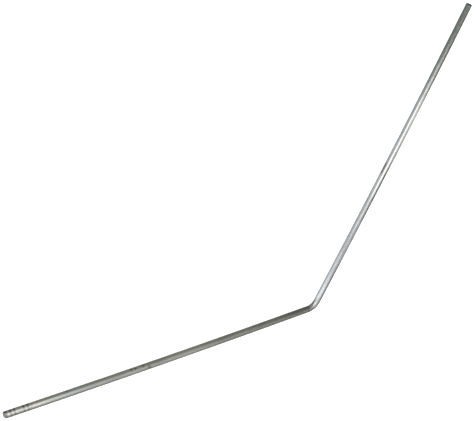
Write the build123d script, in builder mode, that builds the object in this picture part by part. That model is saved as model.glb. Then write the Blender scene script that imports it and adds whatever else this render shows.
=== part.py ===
from build123d import *
import math
import os

# Bent-rod drill paint mixer: one solid round bar, cut square at both ends and cold-bent once at its middle.
#
# The bar lies flat, its centreline in the XY plane. The origin is the centre of the cut face that goes into the
# drill's chuck. The shank leg runs from there along +X, and the stirring leg turns away from it towards +Y.

# Driving dimensions, in millimetres and degrees.
BAR_DIAMETER = 6.35  # quarter-inch bar, the size that any drill chuck takes
LEG_TO_CORNER = 350.0  # from each cut end to the corner where the two straight centrelines would meet
BEND_ANGLE = 54.0  # how far the stirring leg turns away from the shank leg's line
BEND_RADIUS = 16.0  # of the centreline, about two and a half bar diameters
SHANK_CHAMFER = 0.7  # eases the cut end into the chuck's jaws
TIP_CHAMFER = 0.3  # only takes the saw burr off the stirring end

# Worked out from the above.
BAR_RADIUS = BAR_DIAMETER / 2
CORNER_SETBACK = BEND_RADIUS * math.tan(math.radians(BEND_ANGLE / 2))
STRAIGHT_LENGTH = LEG_TO_CORNER - CORNER_SETBACK

# The planes that the bar's round section is drawn on. Each one's normal points along the bar.
shank_end_plane = Plane(origin=(0, 0, 0), x_dir=(0, 1, 0), z_dir=(1, 0, 0))
bend_start_plane = shank_end_plane.offset(STRAIGHT_LENGTH)

# The bend turns about a vertical line beside the bar, on the +Y side.
bend_axis = Axis((STRAIGHT_LENGTH, BEND_RADIUS, 0), (0, 0, 1))
bend_end_plane = Plane(
    origin=(
        LEG_TO_CORNER + CORNER_SETBACK * math.cos(math.radians(BEND_ANGLE)),
        CORNER_SETBACK * math.sin(math.radians(BEND_ANGLE)),
        0,
    ),
    z_dir=(math.cos(math.radians(BEND_ANGLE)), math.sin(math.radians(BEND_ANGLE)), 0),
)


with BuildPart() as mixing_rod:
    # Shank leg: straight, and plain round for its whole length.
    with BuildSketch(shank_end_plane):
        Circle(BAR_RADIUS)
    extrude(amount=STRAIGHT_LENGTH)

    # Bend: the same round section turned about the bend axis.
    with BuildSketch(bend_start_plane):
        Circle(BAR_RADIUS)
    revolve(axis=bend_axis, revolution_arc=BEND_ANGLE)

    # Stirring leg: straight again, from the end of the bend to the tip.
    with BuildSketch(bend_end_plane):
        Circle(BAR_RADIUS)
    extrude(amount=STRAIGHT_LENGTH)

    # The two cut ends: the shank's is chamfered, and the tip's has only its burr taken off.
    end_rims = mixing_rod.edges().filter_by(GeomType.CIRCLE)
    shank_rim = end_rims.sort_by_distance(shank_end_plane.origin)[0]
    tip_rim = end_rims.sort_by_distance(shank_end_plane.origin)[-1]
    chamfer(shank_rim, length=SHANK_CHAMFER)
    chamfer(tip_rim, length=TIP_CHAMFER)

mixing_rod.part.label = "mixing_rod"


os.makedirs("parts", exist_ok=True)
export_step(mixing_rod.part, "parts/mixing_rod.step")
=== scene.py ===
import math
from typing import NamedTuple

import bpy
import numpy as np
from mathutils import Matrix, Vector


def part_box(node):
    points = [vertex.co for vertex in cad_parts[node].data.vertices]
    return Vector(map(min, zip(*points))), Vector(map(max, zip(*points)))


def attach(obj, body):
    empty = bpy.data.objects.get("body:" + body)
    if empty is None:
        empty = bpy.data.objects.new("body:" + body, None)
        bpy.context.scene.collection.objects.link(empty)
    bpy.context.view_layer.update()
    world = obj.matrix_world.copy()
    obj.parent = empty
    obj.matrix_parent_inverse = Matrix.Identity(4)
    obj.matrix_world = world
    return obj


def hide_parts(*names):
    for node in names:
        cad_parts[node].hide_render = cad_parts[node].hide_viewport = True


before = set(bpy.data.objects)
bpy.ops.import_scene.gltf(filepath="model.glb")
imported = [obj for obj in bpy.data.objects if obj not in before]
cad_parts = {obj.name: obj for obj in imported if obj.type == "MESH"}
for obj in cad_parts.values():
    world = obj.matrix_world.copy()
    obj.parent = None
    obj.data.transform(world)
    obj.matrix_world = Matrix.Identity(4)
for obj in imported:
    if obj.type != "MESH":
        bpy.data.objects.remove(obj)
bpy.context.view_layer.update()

# Looks for the bent-rod drill paint mixer: one drawn steel bar, cut square at both ends and bent once.
# Everything is in metres, in the CAD model's frame: the bar lies flat, its shank end at the origin.

MM = 0.001

# The bar's size. The radius and the level of the floor come from the frame, and the rest repeats part.py.
NODE = "mixing_rod"
LOW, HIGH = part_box(NODE)
BAR_RADIUS = (HIGH.z - LOW.z) / 2
FLOOR_LEVEL = LOW.z
LEG_TO_CORNER = 350 * MM
BEND_ANGLE = math.radians(54)
BEND_RADIUS = 16 * MM
SHANK_CHAMFER = 0.7 * MM
TIP_CHAMFER = 0.3 * MM
STRAIGHT = LEG_TO_CORNER - BEND_RADIUS * math.tan(BEND_ANGLE / 2)
BEND_START = STRAIGHT
BEND_END = BEND_START + BEND_RADIUS * BEND_ANGLE
BAR_LENGTH = BEND_END + STRAIGHT

# A cold-bent bar is never dead straight: each leg bows outwards a little, most at its middle.
SHANK_LEG_BOW = 1.0 * MM
STIRRING_LEG_BOW = 1.35 * MM

# Neither end was cut quite square. Low on the bar's inner side the shank runs longest and the tip shortest.
SHANK_CUT_TILT = 0.45 * MM
TIP_CUT_TILT = 0.08 * MM
CUT_TILT_SIDE = math.radians(-122)
CUT_TILT_FADE = 5 * MM

# The mesh: how many points go round the bar, and how far apart its rings are along it.
SEGMENTS_ROUND = 96
END_STEP = 0.25 * MM
BEND_STEP = 0.3 * MM
LEG_STEP = 1.0 * MM
SHANK_END_STRETCH = 28 * MM
TIP_END_STRETCH = 6 * MM
BEND_MARGIN = 4 * MM
UV_STEP = 0.001  # how far V moves from one ring to the next

# The rub rings that a chuck's jaws left, in two pairs, by their distance from the shank end.
RUB_RINGS = (5.1 * MM, 8.8 * MM, 17.6 * MM, 21.7 * MM)
RING_DEPTH = 0.10 * MM
RING_HALF_WIDTH = 0.85 * MM
RING_WANDER = 0.10 * MM
JAW_COUNT = 3
FIRST_JAW = math.radians(-86)
BETWEEN_JAWS = 0.20  # how deep a ring is between two jaws, as a share of its depth under one
JAW_LINE_DEPTH = 0.012 * MM
JAW_LINE_WIDTH = 0.12  # in radians round the bar
JAW_LINES_FROM = (3 * MM, 5 * MM)
JAW_LINES_TO = (24 * MM, 27 * MM)

# The bend's section, as shares of the radius.
BEND_NARROWER = 0.020
BEND_TALLER = 0.014
BEND_PRESSED = 0.05
BEND_PRESSED_WIDTH = 0.5  # in radians round the bar

# The unevenness that drawing and cutting leave.
WAVER_DEPTH = 0.012 * MM
SAW_LINE_DEPTH = 0.012 * MM
SAW_LINE_SPACING = 0.17 * MM
SAW_LINE_WANDER = 2.2
SAW_LINE_WANDER_LENGTH = 2.3 * MM
SAW_SLOPE_DEPTH = 0.020 * MM
SHANK_SAW_PHASE = 0.4
TIP_SAW_PHASE = 1.7
SHANK_EDGE_UNEVENNESS = 0.03 * MM
TIP_EDGE_UNEVENNESS = 0.04 * MM
UNEVEN_FROM = 0.7  # the share of the radius where a cut end's unevenness starts
BURR_HEIGHT = 0.10 * MM
BURR_SIDE = math.radians(52)
BURR_WIDTH = 0.5  # in radians round the bar
BURR_FROM = 0.9  # the share of the radius where the burr starts

# The rings of a cut face, as shares of the bar's radius.
FACE_RINGS = (0.10, 0.25, 0.42, 0.58, 0.72, 0.84)

# How much of a cut each ring of an end is: 1 on the flat face, and less on its chamfer.
ON_CUT_FACE = 1.0
ON_CHAMFER = 0.35

# How deep a groove or knock is when it is as dark as it gets, and how fast the marks fade across a cut face.
DARKEST_DEPTH = 0.75 * RING_DEPTH
MARK_FADE_POWER = 1.5

# Small knocks on the bar: where along it, where round it in degrees (0 is up, the outer side is positive),
# how long, how wide round the bar in degrees, and how deep.
KNOCKS = (
    (0.5 * MM, -104, 4.0 * MM, 40, 0.09 * MM),
    (60 * MM, -76, 2.4 * MM, 20, 0.05 * MM),
    (127.3 * MM, -71, 2.2 * MM, 22, 0.075 * MM),
    (131.2 * MM, -63, 2.0 * MM, 20, 0.075 * MM),
    (140 * MM, -66, 2.4 * MM, 20, 0.055 * MM),
    (213 * MM, -74, 1.1 * MM, 14, 0.05 * MM),
    (282 * MM, -90, 1.0 * MM, 12, 0.05 * MM),
    (BEND_END + 152 * MM, -96, 1.4 * MM, 14, 0.06 * MM),
    (BEND_END + 246 * MM, 12, 1.6 * MM, 16, 0.11 * MM),
)

# Brown stains, and streaks that are partly old dried grime and partly painted shade, the dark lines along the
# shank end's underside and the stirring leg's outer edge: the same but for the last number, which is how
# strong each is.
STAINS = (
    (145.6 * MM, -4, 3.0 * MM, 42, 0.90),
    (14 * MM, -20, 4.0 * MM, 30, 0.20),
    (24.5 * MM, -14, 2.0 * MM, 34, 0.22),
    (255 * MM, 20, 2.2 * MM, 16, 0.45),
    (BEND_END + 41 * MM, -4, 1.6 * MM, 14, 0.70),
)
GRIME_AND_EDGE_SHADE_STREAKS = (
    (0.6 * MM, 95, 3.0 * MM, 42, 0.80),
    (BEND_END + 124 * MM, 9, 54 * MM, 17, 0.95),
    (BEND_END + 150 * MM, -97, 13 * MM, 26, 0.85),
    (BEND_END + 296 * MM, 4, 100 * MM, 19, 0.90),
    (90 * MM, 25, 86 * MM, 12, 0.22),
)


# ---------------------------------------------------------------- the bar's shape


def smooth(edge0, edge1, x):
    """0 below edge0, 1 above edge1, and an eased step between them."""
    t = np.clip((x - edge0) / (edge1 - edge0), 0.0, 1.0)
    return t * t * (3.0 - 2.0 * t)


def bell(x, centre, width):
    """A rounded hump, 1 at its centre, that dies away over about two widths."""
    return np.exp(-(((x - centre) / width) ** 2))


def turn_difference(a, b):
    """How far angle a is from angle b, from -pi to pi."""
    return (a - b + math.pi) % (2 * math.pi) - math.pi


def bow_at(past, middle_bow):
    """How far a leg bows outwards at a distance past its start: nothing at its ends, most at its middle."""
    return middle_bow * 4 * past * (STRAIGHT - past) / STRAIGHT**2


def place_on_bar(s):
    """The centreline's point at s along the bar, and the level direction square to it, on the outer side."""
    turned = np.clip((s - BEND_START) / BEND_RADIUS, 0.0, BEND_ANGLE)
    outward = Vector((math.sin(turned), -math.cos(turned), 0.0))
    along = Vector((math.cos(turned), math.sin(turned), 0.0))
    on_bend = Vector((BEND_START, BEND_RADIUS, 0.0)) + outward * BEND_RADIUS
    if s <= BEND_START:
        return Vector((s, 0.0, 0.0)) + outward * bow_at(s, SHANK_LEG_BOW), outward
    if s <= BEND_END:
        return on_bend, outward
    past = s - BEND_END
    return on_bend + along * past + outward * bow_at(past, STIRRING_LEG_BOW), outward


def ring_stations():
    """Where the mesh has its rings between the two cut ends: closest at the ends and the bend."""
    shank_end = np.arange(0.0, SHANK_END_STRETCH, END_STEP)
    shank_leg = np.arange(SHANK_END_STRETCH, BEND_START - BEND_MARGIN, LEG_STEP)
    bend = np.arange(BEND_START - BEND_MARGIN, BEND_END + BEND_MARGIN, BEND_STEP)
    stirring_leg = np.arange(BEND_END + BEND_MARGIN, BAR_LENGTH - TIP_END_STRETCH, LEG_STEP)
    tip_end = np.arange(BAR_LENGTH - TIP_END_STRETCH, BAR_LENGTH, END_STEP)
    stations = np.concatenate([shank_end, shank_leg, bend, stirring_leg, tip_end])
    past_shank_cut = stations > SHANK_CHAMFER * 1.4
    before_tip_cut = stations < BAR_LENGTH - TIP_CHAMFER * 1.6
    return stations[past_shank_cut & before_tip_cut]


class Ripple:
    """A repeatable uneven curve of s and angle, made of a few seeded waves."""

    def __init__(self, seed, waves, longest, shortest, around):
        rng = np.random.default_rng(seed)
        self.wavelength = np.exp(rng.uniform(math.log(shortest), math.log(longest), waves))
        self.turns = rng.integers(0, around + 1, waves)
        self.phase = rng.uniform(0, 2 * math.pi, (waves, 2))
        self.share = rng.uniform(0.4, 1.0, waves)

    def __call__(self, s, angle):
        total = 0.0
        for wavelength, turns, phase, share in zip(self.wavelength, self.turns, self.phase, self.share):
            lengthwise = np.sin(2 * math.pi * s / wavelength + phase[0])
            total = total + share * lengthwise * np.cos(turns * angle + phase[1])
        return total / self.share.sum()


DRAWN_WAVER = Ripple(seed=11, waves=14, longest=90 * MM, shortest=9 * MM, around=3)
RING_UNEVENNESS = Ripple(seed=5, waves=9, longest=12 * MM, shortest=2 * MM, around=6)
CUT_UNEVENNESS = Ripple(seed=23, waves=8, longest=4 * MM, shortest=1 * MM, around=7)


def patch(s, angle, place, turned, length, width):
    """A soft-edged patch on the bar's surface, from 0 to 1."""
    lengthwise = 1 - smooth(0.35 * length, 0.65 * length, abs(s - place))
    return lengthwise * bell(turn_difference(angle, math.radians(turned)), 0.0, math.radians(width))


def rub_depth(s, angle):
    """How deep the chuck's rub rings and the lines between them are, in metres."""
    depth = np.zeros_like(angle)
    bite = BETWEEN_JAWS + (1 - BETWEEN_JAWS) * (0.5 + 0.5 * np.cos(JAW_COUNT * (angle - FIRST_JAW)))
    # Each ring wanders and varies in its own way.
    for number, ring in enumerate(RUB_RINGS):
        wander = RING_WANDER * np.sin(angle + 1.9 * number)
        uneven = 0.80 + 0.20 * RING_UNEVENNESS(ring * 1.7, angle + number)
        depth = depth + bite * uneven * RING_DEPTH * bell(s, ring + wander, RING_HALF_WIDTH)
    in_grip = smooth(*JAW_LINES_FROM, s) * (1 - smooth(*JAW_LINES_TO, s))
    for jaw in range(JAW_COUNT):
        from_line = turn_difference(angle, FIRST_JAW + jaw * 2 * math.pi / JAW_COUNT)
        depth = depth + in_grip * JAW_LINE_DEPTH * bell(from_line, 0.0, JAW_LINE_WIDTH)
    return depth


def knock_depth(s, angle):
    """How deep the small knocks are at s, in metres."""
    depth = np.zeros_like(angle)
    for place, turned, length, width, deep in KNOCKS:
        depth = depth + deep * patch(s, angle, place, turned, length, width)
    return depth


def marks(s, angle, places):
    """How strong a list of stains or streaks is at s, from 0 to 1."""
    total = np.zeros_like(angle)
    for place, turned, length, width, strength in places:
        total = np.maximum(total, strength * patch(s, angle, place, turned, length, width))
    return total


def bend_stretch(s, angle):
    """How the bend changes the section: narrower across, taller, and pressed in on the inner side."""
    into_bend = smooth(BEND_START - 3 * MM, BEND_START + 4 * MM, s)
    out_of_bend = smooth(BEND_END - 4 * MM, BEND_END + 3 * MM, s)
    oval = -BEND_NARROWER * np.sin(angle) ** 2 + BEND_TALLER * np.cos(angle) ** 2
    pressed = BEND_PRESSED * bell(turn_difference(angle, -math.pi / 2), 0.0, BEND_PRESSED_WIDTH)
    return into_bend * (1 - out_of_bend) * (oval - pressed) * BAR_RADIUS


def bar_radius_at(s, angle):
    """The bar's surface at s, as a distance from the centreline, for an array of angles."""
    waver = WAVER_DEPTH * DRAWN_WAVER(s, angle)
    return BAR_RADIUS + waver - rub_depth(s, angle) - knock_depth(s, angle) + bend_stretch(s, angle)


def end_profile(chamfer):
    """Rings across a cut end, from its middle outwards: (distance in from the cut, share of the radius)."""
    rim = 1 - chamfer / BAR_RADIUS
    face = [(0.0, share) for share in (*FACE_RINGS, rim - 0.02)]
    edge = [(0.02 * MM, rim), (0.10 * chamfer, rim + 0.012)]
    slope = [(0.35 * chamfer, rim + (1 - rim) * 0.38), (0.70 * chamfer, rim + (1 - rim) * 0.72)]
    full = [(1.00 * chamfer, 1 - 0.004), (1.25 * chamfer, 1.0)]
    return face + edge + slope + full


def saw_depth(radii, angles, phase):
    """How far an end's face is cut in by the saw: its wavy lines, and a slope to the top and bottom."""
    sideways, up = radii * np.sin(angles), radii * np.cos(angles)
    wander = SAW_LINE_WANDER * np.sin(up / SAW_LINE_WANDER_LENGTH + phase)
    lines = np.sin(sideways / SAW_LINE_SPACING + wander)
    return np.abs(SAW_LINE_DEPTH * lines - SAW_SLOPE_DEPTH * np.abs(up / BAR_RADIUS))


def cut_tilt(s, angle, share):
    """How far a point stands along the bar because its end was cut a little out of square, in metres."""
    lean = np.cos(angle - CUT_TILT_SIDE)
    shank_cut = -SHANK_CUT_TILT * lean * (1 - smooth(0.0, CUT_TILT_FADE, s))
    tip_cut = -TIP_CUT_TILT * lean * smooth(BAR_LENGTH - CUT_TILT_FADE, BAR_LENGTH, s)
    return (shank_cut + tip_cut) * share


class Ring(NamedTuple):
    """One ring of the mesh."""

    s: float  # its place along the bar
    points: list
    radii: np.ndarray
    cut: float  # how much of a cut face it is


def make_ring(s, angles, radii, shift=0.0, cut=0.0):
    """A ring round the centreline. shift moves its points along the bar."""
    centre, outward = place_on_bar(s)
    along = Vector((-outward.y, outward.x, 0.0))
    shift = shift + cut_tilt(s, angles, radii / BAR_RADIUS)
    points = []
    for angle, radius, moved in zip(angles, radii, shift):
        side = outward * (math.sin(angle) * radius)
        points.append(centre + side + Vector((0, 0, math.cos(angle) * radius)) + along * moved)
    return Ring(s, points, radii, cut)


def shank_end_rings(angles):
    """The shank's cut end, from the middle of its face out to the full bar."""
    rings = []
    for into, share in end_profile(SHANK_CHAMFER):
        radii = np.full(SEGMENTS_ROUND, share * BAR_RADIUS)
        if share > UNEVEN_FROM:
            radii = radii + SHANK_EDGE_UNEVENNESS * CUT_UNEVENNESS(into, angles)
        radii = np.minimum(radii, BAR_RADIUS)
        if into <= 0.0:
            sawn = saw_depth(radii, angles, SHANK_SAW_PHASE)
            rings.append(make_ring(into, angles, radii, sawn, ON_CUT_FACE))
        else:
            rings.append(make_ring(into, angles, radii, cut=ON_CHAMFER))
    return rings


def tip_end_rings(angles):
    """The tip's cut end, from the full bar in to the middle of its face, with a burr on one side."""
    burr = BURR_HEIGHT * bell(turn_difference(angles, BURR_SIDE), 0.0, BURR_WIDTH)
    rings = []
    for into, share in reversed(end_profile(TIP_CHAMFER)):
        radii = np.full(SEGMENTS_ROUND, share * BAR_RADIUS)
        if share > UNEVEN_FROM:
            # 9 mm further on in the unevenness, so that the two ends differ.
            radii = radii + TIP_EDGE_UNEVENNESS * CUT_UNEVENNESS(into + 9 * MM, angles)
        if share > BURR_FROM:
            radii = radii + burr
        if into <= 0.0:
            sawn = saw_depth(radii, angles, TIP_SAW_PHASE)
            rings.append(make_ring(BAR_LENGTH, angles, radii, -sawn, ON_CUT_FACE))
        else:
            rings.append(make_ring(BAR_LENGTH - into, angles, radii, cut=ON_CHAMFER))
    return rings


def skin(ring_count):
    """The faces between each ring and the next, and a fan to the middle of each cut face."""
    count = SEGMENTS_ROUND
    pairs = [(j, (j + 1) % count) for j in range(count)]
    faces = []
    for i in range(ring_count - 1):
        here, there = i * count, (i + 1) * count
        faces.extend((here + j, here + k, there + k, there + j) for j, k in pairs)
    shank_middle = ring_count * count
    tip_middle = shank_middle + 1
    last = (ring_count - 1) * count
    for j, k in pairs:
        faces.append((shank_middle, k, j))
        faces.append((tip_middle, last + j, last + k))
    return faces


def build_bar():
    """The whole bar as one closed mesh, with the unbent bar's own coordinates stored for its materials."""
    angles = np.arange(SEGMENTS_ROUND) * 2 * math.pi / SEGMENTS_ROUND
    between_ends = [make_ring(s, angles, bar_radius_at(s, angles)) for s in ring_stations()]
    rings = shank_end_rings(angles) + between_ends + tip_end_rings(angles)
    verts = [tuple(point) for ring in rings for point in ring.points]
    verts += [tuple(place_on_bar(s)[0]) for s in (0.0, BAR_LENGTH)]

    mesh = bpy.data.meshes.new("bent_bar")
    mesh.from_pydata(verts, [], skin(len(rings)))
    mesh.validate()
    lay_out_uv(mesh)
    store_bar_space(mesh, rings, angles)
    store_marks(mesh, rings, angles)
    mesh.polygons.foreach_set("use_smooth", np.ones(len(mesh.polygons), dtype=bool))
    bar = bpy.data.objects.new("bent_bar", mesh)
    bpy.context.scene.collection.objects.link(bar)
    return bar


def lay_out_uv(mesh):
    """U goes once round the bar and V along it, so that the material knows which way is round."""
    layer = mesh.uv_layers.new(name="round_and_along")
    middles_from = len(mesh.vertices) - 2
    for face in mesh.polygons:
        turns = [(mesh.loops[i].vertex_index % SEGMENTS_ROUND) / SEGMENTS_ROUND for i in face.loop_indices]
        wraps = max(turns) - min(turns) > 0.5
        for i, turn in zip(face.loop_indices, turns):
            point = mesh.loops[i].vertex_index
            ring = point // SEGMENTS_ROUND if point < middles_from else 0
            layer.data[i].uv = (turn + 1.0 if wraps and turn < 0.5 else turn, ring * UV_STEP)


def store_bar_space(mesh, rings, angles):
    """Stores each point's place on the unbent bar."""
    space = []
    for ring in rings:
        for angle, radius in zip(angles, ring.radii):
            space.append((ring.s, radius * math.cos(angle), radius * math.sin(angle)))
    space += [(0.0, 0.0, 0.0), (BAR_LENGTH, 0.0, 0.0)]
    layer = mesh.attributes.new("bar_space", "FLOAT_VECTOR", "POINT")
    layer.data.foreach_set("vector", np.array(space, dtype=np.float32).ravel())


def store_marks(mesh, rings, angles):
    """Stores how grooved, stained and streaked each point is, and how much of a cut it is, from 0 to 1."""
    groove, stain, streak, cut = [], [], [], []
    for ring in rings:
        depth = rub_depth(ring.s, angles) + knock_depth(ring.s, angles)
        depth = depth * (ring.radii / BAR_RADIUS) ** MARK_FADE_POWER
        groove.extend(np.clip(depth / DARKEST_DEPTH, 0.0, 1.0))
        stain.extend(marks(ring.s, angles, STAINS))
        streak.extend(marks(ring.s, angles, GRIME_AND_EDGE_SHADE_STREAKS))
        cut.extend([ring.cut] * len(angles))
    for values, at_middles in ((groove, 0.0), (stain, 0.0), (streak, 0.0), (cut, ON_CUT_FACE)):
        values.extend([at_middles] * 2)
    for name, values in (("groove", groove), ("stain", stain), ("streak", streak), ("cut", cut)):
        layer = mesh.attributes.new(name, "FLOAT", "POINT")
        layer.data.foreach_set("value", np.array(values, dtype=np.float32))


# ---------------------------------------------------------------- materials

# Colours of the bar's metal: its plating, the bend, the part that the chuck grips, and the two cuts, with the
# painted shade at the bend's ends, on the cut ends' rims and at the cut faces' edges.
BRIGHT = (0.755, 0.755, 0.735, 1.0)
DULL = (0.625, 0.635, 0.615, 1.0)
BLUISH = (0.66, 0.69, 0.71, 1.0)
SCUFFED_AND_SHADED = (0.46, 0.465, 0.45, 1.0)
POLISHED_GREENISH = (0.80, 0.80, 0.755, 1.0)
POLISHED_PINKISH = (0.85, 0.79, 0.765, 1.0)
SHANK_RIM_SHADE = (0.52, 0.46, 0.41, 1.0)
TIP_RIM_SHADE = (0.055, 0.050, 0.045, 1.0)
SAWN_DARK = (0.68, 0.63, 0.58, 1.0)
SAWN_PALE = (0.90, 0.85, 0.79, 1.0)
FACE_EDGE_SHADE = (0.30, 0.265, 0.24, 1.0)

# Colours of what lies on it, and of the painted shade in its grooves and along its edges.
OXIDE = (0.27, 0.24, 0.16, 1.0)
GRIME_AND_GROOVE_SHADE = (0.055, 0.055, 0.045, 1.0)
FILM_AND_EDGE_SHADE = (0.20, 0.132, 0.115, 1.0)

# How fine each pattern is: along the bar, then across it both ways, or the same every way.
STREAK_SCALE = (14.0, 900.0, 900.0)
FINE_STREAK_SCALE = (60.0, 3600.0, 3600.0)
MOTTLE_SCALE = (28.0, 90.0, 90.0)
PATCH_SCALE = (95.0, 260.0, 260.0)
SPECK_SCALE = (620.0, 900.0, 900.0)
SAW_LINE_SCALE = (1.0, 300.0, 5200.0)
GRAIN_SCALE = 5200.0
BLOTCH_SCALE = 1400.0

# Where each part of the finish starts and ends along the bar.
BENT_FROM = (BEND_START - 2 * MM, BEND_START + 3 * MM)
BENT_TO = (BEND_END - 2 * MM, BEND_END + 5 * MM)
BEND_DARKENING_MIDDLE = (BEND_START + BEND_END) / 2 + 1 * MM
BEND_DARKENING_FROM_MIDDLE = (2.5 * MM, 6.0 * MM)
GRIP_TO = (30 * MM, 52 * MM)
COOLER_FROM = (30 * MM, 50 * MM)
COOLER_TO = (70 * MM, 105 * MM)
SHANK_RIM_TO = (0.9 * MM, 1.7 * MM)
TIP_RIM_FROM = (BAR_LENGTH - 2.0 * MM, BAR_LENGTH - 1.2 * MM)
FACE_EDGE_FROM = (0.62 * BAR_RADIUS, 0.78 * BAR_RADIUS)  # outwards from the middle of the face

BUMP_DISTANCE = 0.04 * MM
DRAWN_ANISOTROPY = 0.95
BENT_ANISOTROPY = 0.60
FLOOR_GLOW = 0.14


class Nodes:
    """A short way to write a node tree."""

    def __init__(self, tree):
        self.tree = tree
        tree.nodes.clear()

    def add(self, kind, inputs=None, **settings):
        node = self.tree.nodes.new(kind)
        for name, value in settings.items():
            setattr(node, name, value)
        for name, value in (inputs or {}).items():
            self.put(node.inputs[name], value)
        return node

    def put(self, socket, value):
        if isinstance(value, bpy.types.NodeSocket):
            self.tree.links.new(value, socket)
        else:
            socket.default_value = value

    def attribute(self, name, output="Fac"):
        return self.add("ShaderNodeAttribute", attribute_name=name).outputs[output]

    def noise(self, vector, scale=1.0, detail=3.0, roughness=0.5):
        inputs = {"Vector": vector, "Scale": scale, "Detail": detail, "Roughness": roughness}
        return self.add("ShaderNodeTexNoise", inputs).outputs["Fac"]

    def stretch(self, vector, scale):
        node = self.add("ShaderNodeVectorMath", {0: vector, 1: scale}, operation="MULTIPLY")
        return node.outputs["Vector"]

    def ramp(self, value, low, high, to_low=0.0, to_high=1.0):
        inputs = {"Value": value, "From Min": low, "From Max": high, "To Min": to_low, "To Max": to_high}
        return self.add("ShaderNodeMapRange", inputs, interpolation_type="SMOOTHSTEP").outputs["Result"]

    def math(self, operation, a, b=0.0):
        return self.add("ShaderNodeMath", {0: a, 1: b}, operation=operation).outputs["Value"]

    def mix(self, factor, a, b, blend="MIX"):
        node = self.add("ShaderNodeMix", data_type="RGBA", blend_type=blend, clamp_factor=True)
        self.put(node.inputs[0], factor)
        self.put(node.inputs[6], a)
        self.put(node.inputs[7], b)
        return node.outputs[2]


class BarSurface:
    """What the bar's finish is made from: its coordinates, stored marks, stretches and patterns."""

    def __init__(self, n):
        self.space = n.attribute("bar_space", "Vector")
        self.along = n.add("ShaderNodeSeparateXYZ", {"Vector": self.space}).outputs["X"]
        self.groove = n.attribute("groove")
        self.cut = n.attribute("cut")
        self.stain = n.attribute("stain")
        self.streak = n.attribute("streak")

        # The drawn skin stretched and dulled where the bar was bent.
        out_of_bend = n.ramp(self.along, *BENT_TO, 1.0, 0.0)
        self.bent = n.math("MULTIPLY", n.ramp(self.along, *BENT_FROM), out_of_bend)
        self.gripped = n.ramp(self.along, *GRIP_TO, 1.0, 0.0)
        self.shank_rim = n.ramp(self.along, *SHANK_RIM_TO, 1.0, 0.0)
        self.tip_rim = n.ramp(self.along, *TIP_RIM_FROM)

        # Streaks run with the bar: long in X, fine round it. Mottling is broad, and grain is fine both ways.
        self.streaks = n.noise(n.stretch(self.space, STREAK_SCALE), detail=4.0, roughness=0.62)
        self.fine_streaks = n.noise(n.stretch(self.space, FINE_STREAK_SCALE), detail=2.0)
        self.mottle = n.noise(n.stretch(self.space, MOTTLE_SCALE))
        self.patches = n.noise(n.stretch(self.space, PATCH_SCALE), detail=5.0, roughness=0.65)
        self.grain = n.noise(self.space, GRAIN_SCALE, detail=2.0)


def plated_colour(n, bar):
    """The plating: streaked, mottled, scuffed and darkened with painted shade at each end of the bend, and
    polished where a chuck grips.
    """
    colour = n.mix(n.ramp(bar.mottle, 0.36, 0.64), DULL, BRIGHT)
    colour = n.mix(n.ramp(bar.patches, 0.55, 0.75, 0.0, 0.55), colour, BLUISH)
    colour = n.mix(n.ramp(bar.streaks, 0.40, 0.66, 0.0, 0.30), colour, DULL)

    # Painted shade, with scuffs: each end of the bend is darkened, and its middle is not.
    from_middle = n.math("ABSOLUTE", n.math("SUBTRACT", bar.along, BEND_DARKENING_MIDDLE))
    scuffs_and_shade = n.math("MULTIPLY", bar.bent, n.ramp(from_middle, *BEND_DARKENING_FROM_MIDDLE, 0.0, 0.38))
    colour = n.mix(scuffs_and_shade, colour, SCUFFED_AND_SHADED)

    # The polish has a faint pink and green play of colour, and the bar is cooler just past it.
    polished = n.mix(n.ramp(bar.patches, 0.44, 0.58), POLISHED_GREENISH, POLISHED_PINKISH)
    colour = n.mix(n.math("MULTIPLY", bar.gripped, 0.75), colour, polished)
    cooler_to = n.ramp(bar.along, *COOLER_TO, 0.5, 0.0)
    return n.mix(n.math("MULTIPLY", n.ramp(bar.along, *COOLER_FROM), cooler_to), colour, BLUISH)


def with_cut_ends(n, bar, colour):
    """The plating stops at the cuts. Painted shade darkens the rims of both ends: the shank's to a brownish
    grey, and the tip's nearly to black.
    """
    # Painted shade: the shank's rim and chamfer are darkened, and the tip's rim nearly to black.
    colour = n.mix(bar.shank_rim, colour, SHANK_RIM_SHADE)
    colour = n.mix(bar.tip_rim, colour, TIP_RIM_SHADE)
    saw_lines = n.noise(n.stretch(bar.space, SAW_LINE_SCALE), detail=2.0)
    sawn = n.mix(saw_lines, SAWN_DARK, SAWN_PALE)
    across_bar = n.stretch(bar.space, (0.0, 1.0, 1.0))
    from_middle = n.add("ShaderNodeVectorMath", {0: across_bar}, operation="LENGTH").outputs["Value"]
    # Painted shade: each cut face darkens towards its edge.
    sawn = n.mix(n.ramp(from_middle, *FACE_EDGE_FROM, 0.0, 0.70), sawn, FACE_EDGE_SHADE)
    return n.mix(n.ramp(bar.cut, 0.5, 0.9), colour, sawn)


def with_dirt_and_painted_shade(n, bar, colour):
    """Scattered specks, blotchy stains, streaks of dried grime and of painted shade along the edges, and
    grime with painted shade in the grooves and knocks.
    """
    specks = n.ramp(n.noise(n.stretch(bar.space, SPECK_SCALE), detail=1.0), 0.70, 0.78)
    colour = n.mix(n.math("MULTIPLY", specks, 0.30), colour, OXIDE)
    blotches = n.ramp(n.noise(bar.space, BLOTCH_SCALE), 0.25, 0.60, 0.35, 1.0)
    colour = n.mix(n.math("MULTIPLY", bar.stain, blotches), colour, OXIDE)
    # Dried grime and painted shade: the streaks, some of them dark lines along the bar's edges.
    colour = n.mix(n.math("MULTIPLY", bar.streak, blotches), colour, FILM_AND_EDGE_SHADE)
    # Grime and painted shade in the grooves and knocks: the deeper, the darker.
    return n.mix(n.math("MULTIPLY", bar.groove, 0.95), colour, GRIME_AND_GROOVE_SHADE)


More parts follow.
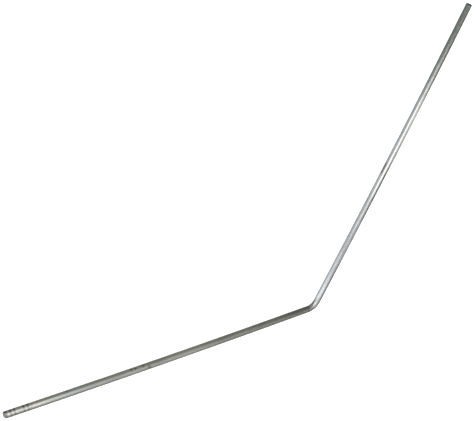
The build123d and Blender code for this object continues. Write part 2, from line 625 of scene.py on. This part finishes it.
def bar_roughness(n, bar):
    """Nearly a mirror: smoother in the grip, and rougher in grooves, on cuts and stains, and in the bend."""
    roughness = n.ramp(bar.streaks, 0.30, 0.70, 0.16, 0.23)
    roughness = n.math("ADD", roughness, n.ramp(bar.patches, 0.4, 0.8, -0.01, 0.06))
    roughness = n.math("SUBTRACT", roughness, n.math("MULTIPLY", bar.gripped, 0.02))
    roughness = n.math("ADD", roughness, n.math("MULTIPLY", bar.groove, 0.25))
    roughness = n.math("ADD", roughness, n.ramp(bar.cut, 0.5, 0.9, 0.0, 0.12))
    rim = n.math("MAXIMUM", bar.shank_rim, bar.tip_rim)
    roughness = n.math("ADD", roughness, n.math("MULTIPLY", n.math("ADD", bar.stain, rim), 0.14))
    return n.math("ADD", roughness, n.math("MULTIPLY", bar.bent, 0.17))


def bar_bump(n, bar):
    """The drawn lines and the grain, as bump."""
    relief = n.math("ADD", n.math("MULTIPLY", bar.streaks, 0.6), n.math("MULTIPLY", bar.fine_streaks, 0.4))
    relief = n.math("ADD", relief, n.math("MULTIPLY", bar.grain, 0.12))
    bump = n.add("ShaderNodeBump", {"Height": relief, "Strength": 0.35, "Distance": BUMP_DISTANCE})
    return bump.outputs["Normal"]


def new_material(name):
    """An empty material and its node tree."""
    material = bpy.data.materials.new(name)
    material.use_nodes = True
    return material, Nodes(material.node_tree)


def finish_material(n, inputs):
    """Ends a material's node tree with its shader."""
    surface = n.add("ShaderNodeBsdfPrincipled", inputs)
    n.add("ShaderNodeOutputMaterial", {"Surface": surface.outputs["BSDF"]})


def bright_bar_material():
    """Drawn steel with a thin bright plate, and raw steel where it was cut."""
    material, n = new_material("bright_bar")
    bar = BarSurface(n)
    # The drawn lines blur a reflection round the bar and hardly along it.
    round_the_bar = n.add("ShaderNodeTangent", direction_type="UV_MAP", uv_map="round_and_along")
    inputs = {
        "Base Color": with_dirt_and_painted_shade(n, bar, with_cut_ends(n, bar, plated_colour(n, bar))),
        "Metallic": 1.0,
        "Roughness": bar_roughness(n, bar),
        "Normal": bar_bump(n, bar),
        "Anisotropic": n.ramp(bar.bent, 0.0, 1.0, DRAWN_ANISOTROPY, BENT_ANISOTROPY),
        "Tangent": round_the_bar.outputs["Tangent"],
    }
    finish_material(n, inputs)
    return material


def floor_material():
    """A plain pale sweep with a trace of unevenness."""
    material, n = new_material("pale_floor")
    place = n.add("ShaderNodeTexCoord").outputs["Object"]
    tone = n.noise(place, 3.0, detail=2.0)
    inputs = {
        "Base Color": n.mix(tone, (0.93, 0.93, 0.925, 1.0), (0.95, 0.95, 0.95, 1.0)),
        "Roughness": 0.9,
        "Emission Color": (1.0, 1.0, 1.0, 1.0),
        "Emission Strength": FLOOR_GLOW,
    }
    finish_material(n, inputs)
    return material


# ---------------------------------------------------------------- floor, light and camera

# The studio round the bar. Each leg mirrors the room in bands that run round its own line, so the room's pale
# areas are strips set square to one leg or the other.
SHANK_LINE = Vector((1.0, 0.0, 0.0))
STIRRING_LINE = Vector((math.cos(BEND_ANGLE), math.sin(BEND_ANGLE), 0.0))
SKEW_LEAN = 41  # the lean that a panel's skew is towards, in degrees


class Panel(NamedTuple):
    """A pale patch of the room with soft edges, laid out round the line of the leg that mirrors it.

    How far a direction faces along the line goes from 0, square to it, to 1, straight along it.
    """

    line: Vector
    facing: float  # how far along the line it faces, roughly: its width is true there
    lean: float  # how far it leans over from straight up, in degrees, to the line's right
    half: float  # half its width round the line, in degrees
    feather: float  # how far its sides fade, in degrees
    start: float  # the facing that it starts at, or None where it has no start
    end: float  # the facing that it ends at, or None where it has no end
    fade: float  # how far its start and end fade to each side, in facing
    glow: tuple  # its red, green and blue brightness
    skew: float = 0.0  # how far its start and end run askew


class Shade(NamedTuple):
    """A colour of the room that turns into another between two facings along a leg's line."""

    start: float
    end: float
    before: tuple
    after: tuple


# Ahead of the shank leg the room darkens steadily, and its upper outer side is paler.
AHEAD_GROUND = Shade(0.525, 0.65, (0.240, 0.248, 0.213), (0.077, 0.075, 0.065))
AHEAD_PALE_SIDE = Shade(0.49, 0.63, (0.255, 0.257, 0.266), (0.052, 0.054, 0.046))

# Round the stirring leg the ground is mid-grey with a paler low wall, and both are dark beyond the softboxes.
ROUND_GROUND = Shade(0.216, 0.236, (0.310, 0.318, 0.358), (0.090, 0.112, 0.104))
ROUND_LOW_WALL = Shade(0.207, 0.234, (0.250, 0.274, 0.280), (0.058, 0.060, 0.058))

# The facing along the shank leg where the room ahead takes over from the room round the stirring leg.
AHEAD_FROM = (0.20, 0.38)

# The shank leg mirrors these: a low panel on the outer side, for the stretch just before the bend, and a
# softbox for the gripped end.
PANELS_AHEAD = (
    Panel(SHANK_LINE, 0.60, 66, 16, 34, 0.605, None, 0.015, (0.11, 0.11, 0.105)),
    Panel(SHANK_LINE, 0.43, -24, 9, 41, 0.350, 0.446, 0.012, (0.655, 0.685, 0.70)),
)

# The stirring leg and the bend mirror these: a large window, which gives the white stretch its start and end;
# a softbox, mirrored just past the bend; a thin strip light that carries on from it; and a softbox that only
# the bend mirrors.
PANELS_ROUND = (
    Panel(STIRRING_LINE, 0.17, -33, 13, 25, 0.126, 0.227, 0.012, (1.60, 1.56, 1.52), skew=0.025),
    Panel(STIRRING_LINE, 0.05, -57, 20, 55, 0.000, 0.066, 0.024, (1.70, 1.69, 1.76)),
    Panel(STIRRING_LINE, 0.15, -48, 4, 16, None, -0.045, 0.015, (0.95, 0.95, 0.97)),
    Panel(STIRRING_LINE, 0.50, -50, 20, 40, 0.335, None, 0.020, (1.55, 1.56, 1.58)),
)

# Two low, slightly warm lamps on the outer side, which edge the stirring leg.
LAMPS = (
    Panel(STIRRING_LINE, 0.17, 49, 14, 27, 0.178, 0.226, 0.008, (0.72, 0.66, 0.64)),
    Panel(STIRRING_LINE, 0.17, 49, 14, 27, 0.080, 0.122, 0.012, (0.144, 0.132, 0.128)),
)

# A small light that only the chamfer on the shank's end mirrors: its azimuth and elevation in degrees, and
# the facings towards it where it starts and is full.
CHAMFER_LIGHT_PLACE = (167, 20)
CHAMFER_LIGHT_EDGE = (0.93, 0.98)
CHAMFER_LIGHT_GLOW = (2.10, 1.96, 1.90)

KEY_SPREAD = math.radians(20)
FLOOR_HALF_WIDTH = 30.0

# The camera, as fitted to the bar's outline. The focal length is 1200 pixels on a picture 475 pixels wide.
SENSOR_WIDTH = 36.0
FOCAL_LENGTH = SENSOR_WIDTH * 1200.0 / 475.0
CAMERA_PLACE = Vector((-0.4094, 0.5032, 0.8042))
CAMERA_FORWARD = Vector((0.59582, -0.34115, -0.72706))
CAMERA_UP = Vector((0.20987, 0.94001, -0.26895))


def toward(azimuth, elevation):
    """The direction at an azimuth from +X towards +Y, and an elevation above the floor, in degrees."""
    a, e = math.radians(azimuth), math.radians(elevation)
    return Vector((math.cos(a) * math.cos(e), math.sin(a) * math.cos(e), math.sin(e)))


def make_floor():
    """A wide floor at the bar's underside. The bar doesn't mirror it: what it mirrors is all in the world."""
    size = FLOOR_HALF_WIDTH
    mesh = bpy.data.meshes.new("floor")
    corners = [(-size, -size), (size, -size), (size, size), (-size, size)]
    mesh.from_pydata([(x, y, FLOOR_LEVEL) for x, y in corners], [], [(0, 1, 2, 3)])
    floor = bpy.data.objects.new("floor", mesh)
    bpy.context.scene.collection.objects.link(floor)
    mesh.materials.append(floor_material())
    floor.visible_glossy = False


def across(line, lean):
    """The direction square to a line that leans over from straight up, in degrees, to the line's right."""
    right = Vector((line.y, -line.x, 0.0))
    return right * math.sin(math.radians(lean)) + Vector((0, 0, math.cos(math.radians(lean))))


def facing(n, direction, line):
    """How far a direction of the room points along a line, from -1 to 1."""
    node = n.add("ShaderNodeVectorMath", {0: direction, 1: tuple(line)}, operation="DOT_PRODUCT")
    return node.outputs["Value"]


def round_the_line(n, direction, line, level, lean, half, feather):
    """A patch round a line: 1 within half of its lean, and 0 past the feather, in degrees.

    level is about how far along the line the patch faces, where its width is true.
    """
    reach = math.sqrt(1 - level**2)
    inner = math.cos(math.radians(half)) * reach
    outer = math.cos(math.radians(half + feather)) * reach
    return n.ramp(facing(n, direction, across(line, lean)), outer, inner)


def add_panels(n, direction, room, panels):
    """The room's colour with a list of panels added to it."""
    for panel in panels:
        share = round_the_line(n, direction, panel.line, panel.facing, panel.lean, panel.half, panel.feather)
        along = facing(n, direction, panel.line - panel.skew * across(panel.line, SKEW_LEAN))
        if panel.start is not None:
            rise = n.ramp(along, panel.start - panel.fade, panel.start + panel.fade)
            share = n.math("MULTIPLY", share, rise)
        if panel.end is not None:
            fall = n.ramp(along, panel.end - panel.fade, panel.end + panel.fade, 1.0, 0.0)
            share = n.math("MULTIPLY", share, fall)
        room = n.mix(share, room, (*panel.glow, 1.0), blend="ADD")
    return room


def shaded(n, along, shade):
    """The room's colour for a shade, by how far a direction faces along the leg's line."""
    return n.mix(n.ramp(along, shade.start, shade.end), (*shade.before, 1.0), (*shade.after, 1.0))


def room_ahead(n, direction, along):
    """The room ahead of the shank leg, which the shank leg and the bend mirror."""
    upper_side = round_the_line(n, direction, SHANK_LINE, level=0.50, lean=3, half=43, feather=20)
    upper_side = n.math("MULTIPLY", upper_side, n.ramp(along, 0.39, 0.46, 0.5, 1.0))
    pale_side = shaded(n, along, AHEAD_PALE_SIDE)
    room = n.mix(upper_side, shaded(n, along, AHEAD_GROUND), pale_side, blend="ADD")
    return add_panels(n, direction, room, PANELS_AHEAD)


def room_round(n, direction, along):
    """The room round the stirring leg, which that leg, the bend and the shank's cut end mirror."""
    low_side = round_the_line(n, direction, STIRRING_LINE, level=0.20, lean=-99, half=17, feather=69)
    low_wall = shaded(n, along, ROUND_LOW_WALL)
    room = n.mix(low_side, shaded(n, along, ROUND_GROUND), low_wall, blend="ADD")
    room = add_panels(n, direction, room, PANELS_ROUND)
    chamfer_light = n.ramp(facing(n, direction, toward(*CHAMFER_LIGHT_PLACE)), *CHAMFER_LIGHT_EDGE)
    return n.mix(chamfer_light, room, (*CHAMFER_LIGHT_GLOW, 1.0), blend="ADD")


def make_world():
    """The room that the bar mirrors: plain to the camera, and pale strips on a dimmer ground to the metal."""
    world = bpy.data.worlds.new("studio")
    bpy.context.scene.world = world
    world.use_nodes = True
    n = Nodes(world.node_tree)
    direction = n.add("ShaderNodeTexCoord").outputs["Generated"]
    along_shank = facing(n, direction, SHANK_LINE)
    along_stirring = facing(n, direction, STIRRING_LINE)

    ahead = room_ahead(n, direction, along_shank)
    around = room_round(n, direction, along_stirring)
    room = n.mix(n.ramp(along_shank, *AHEAD_FROM), around, ahead)
    room = add_panels(n, direction, room, LAMPS)

    mirrored = n.add("ShaderNodeBackground", {"Color": room, "Strength": 1.0})
    seen = n.add("ShaderNodeBackground", {"Color": (1.0, 1.0, 1.0, 1.0), "Strength": 1.0})
    by_camera = n.add("ShaderNodeLightPath").outputs["Is Camera Ray"]
    choices = {0: by_camera, 1: mirrored.outputs["Background"], 2: seen.outputs["Background"]}
    both = n.add("ShaderNodeMixShader", choices)
    n.add("ShaderNodeOutputWorld", {"Surface": both.outputs["Shader"]})


def add_key(name, azimuth, elevation, power):
    """A large soft key. It lights only the floor: what the bar mirrors is in the world."""
    data = bpy.data.lights.new(name, "SUN")
    data.angle = KEY_SPREAD
    data.energy = power
    light = bpy.data.objects.new(name, data)
    bpy.context.scene.collection.objects.link(light)
    light.rotation_euler = (-toward(azimuth, elevation)).to_track_quat("-Z", "Y").to_euler()
    light.visible_glossy = False


def make_camera():
    """Stands about a metre off, above the bar's inner side and turned on its side, as the photograph was."""
    data = bpy.data.cameras.new("camera")
    data.sensor_width = SENSOR_WIDTH
    data.lens = FOCAL_LENGTH
    camera = bpy.data.objects.new("camera", data)
    bpy.context.scene.collection.objects.link(camera)
    forward = CAMERA_FORWARD.normalized()
    right = forward.cross(CAMERA_UP).normalized()
    up = right.cross(forward)
    turn = Matrix((right, up, -forward)).transposed()
    camera.matrix_world = Matrix.Translation(CAMERA_PLACE) @ turn.to_4x4()
    bpy.context.scene.camera = camera


# ---------------------------------------------------------------- putting it together

bar = build_bar()
bar.data.materials.append(bright_bar_material())
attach(bar, "root")
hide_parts(NODE)

make_floor()
make_world()
# The stronger key is over the bar's inner side, so that the shadow hugs its outer side.
add_key("key", azimuth=140, elevation=46, power=2.9)
add_key("fill", azimuth=250, elevation=52, power=1.2)
make_camera()

bpy.context.scene.view_settings.view_transform = "Standard"
